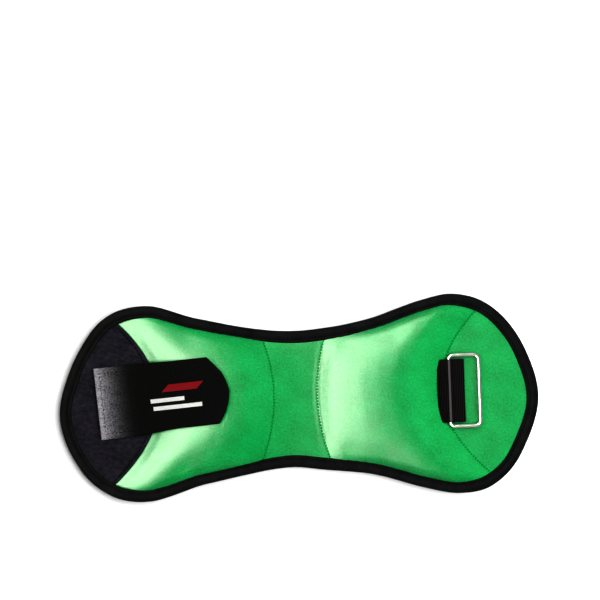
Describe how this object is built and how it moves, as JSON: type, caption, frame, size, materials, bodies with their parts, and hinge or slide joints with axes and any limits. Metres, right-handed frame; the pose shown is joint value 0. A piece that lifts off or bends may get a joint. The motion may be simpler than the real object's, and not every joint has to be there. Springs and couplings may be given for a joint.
{
  "type": "ankle cuff weight",
  "caption": "Padded ankle cuff weight with two filled pockets, bound edge, loop patch, fold-back strap and a wire ring that the strap passes through.",
  "frame": {"origin": "centre of the cuff's outline on the surface that its inner face rests on, when it is opened out flat", "axes": "+X along the cuff from the strap end towards the ring end, +Y across it, +Z out of its outer face"},
  "size_m": [0.35, 0.146, 0.025],
  "materials": {
    "neoprene": "matte",
    "lining": "matte",
    "binding": "matte",
    "loop": "matte",
    "webbing": "satin",
    "hook": "matte",
    "thread": "satin",
    "film": "satin",
    "shot": "matte",
    "metal": "polished",
    "print_red": "satin",
    "print_white": "satin"
  },
  "bodies": {
    "waist": {"left_seam_stitching": "thread", "right_seam_stitching": "thread", "waist_binding_lower": "binding", "waist_binding_upper": "binding", "waist_lining": "lining", "waist_panel": "neoprene"},
    "left_lobe": {"left_lobe_bag_base": "film", "left_lobe_bag_top": "film", "left_lobe_binding_lower": "binding", "left_lobe_binding_upper": "binding", "left_lobe_fill": "shot", "left_lobe_lining": "lining", "left_lobe_panel": "neoprene"},
    "left_end": {"left_end_binding": "binding", "left_end_lining": "lining", "left_end_panel": "neoprene", "loop_patch": "loop", "patch_stitching": "thread", "strap_base": "webbing", "strap_stitching_1": "thread", "strap_stitching_2": "thread", "strap_stitching_3": "thread", "strap_stitching_4": "thread"},
    "strap": {"hook_tape": "hook", "mark_red_bar": "print_red", "mark_white_bar": "print_white", "strap_run": "webbing"},
    "right_lobe": {"right_lobe_bag_base": "film", "right_lobe_bag_top": "film", "right_lobe_binding_lower": "binding", "right_lobe_binding_upper": "binding", "right_lobe_fill": "shot", "right_lobe_lining": "lining", "right_lobe_panel": "neoprene"},
    "right_end": {"right_end_binding": "binding", "right_end_lining": "lining", "right_end_panel": "neoprene", "ring_keeper": "webbing", "ring_seam_stitching_lower": "thread", "ring_seam_stitching_upper": "thread"},
    "ring": {"ring": "metal"}
  },
  "joints": [
    {"name": "left_waist_fold", "type": "hinge", "parent": "waist", "child": "left_lobe", "pos_m": [-0.028, 0, 0], "axis": [0, -1, 0], "range_deg": [-20, 65]},
    {"name": "left_end_fold", "type": "hinge", "parent": "left_lobe", "child": "left_end", "pos_m": [-0.101, 0, 0], "axis": [0, -1, 0], "range_deg": [0, 65]},
    {"name": "strap_fold", "type": "hinge", "parent": "left_end", "child": "strap", "pos_m": [-0.118, 0.0036, 0.0096], "axis": [0.0802, -0.9968, 0], "range_deg": [0, 150]},
    {"name": "right_waist_fold", "type": "hinge", "parent": "waist", "child": "right_lobe", "pos_m": [0.023, 0, 0], "axis": [0, 1, 0], "range_deg": [-20, 65]},
    {"name": "right_end_fold", "type": "hinge", "parent": "right_lobe", "child": "right_end", "pos_m": [0.099, 0, 0], "axis": [0, 1, 0], "range_deg": [-20, 65]},
    {"name": "ring_swing", "type": "hinge", "parent": "right_end", "child": "ring", "pos_m": [0.11, 0.002, 0.0091], "axis": [0, -1, 0], "range_deg": [0, 140]}
  ]
}
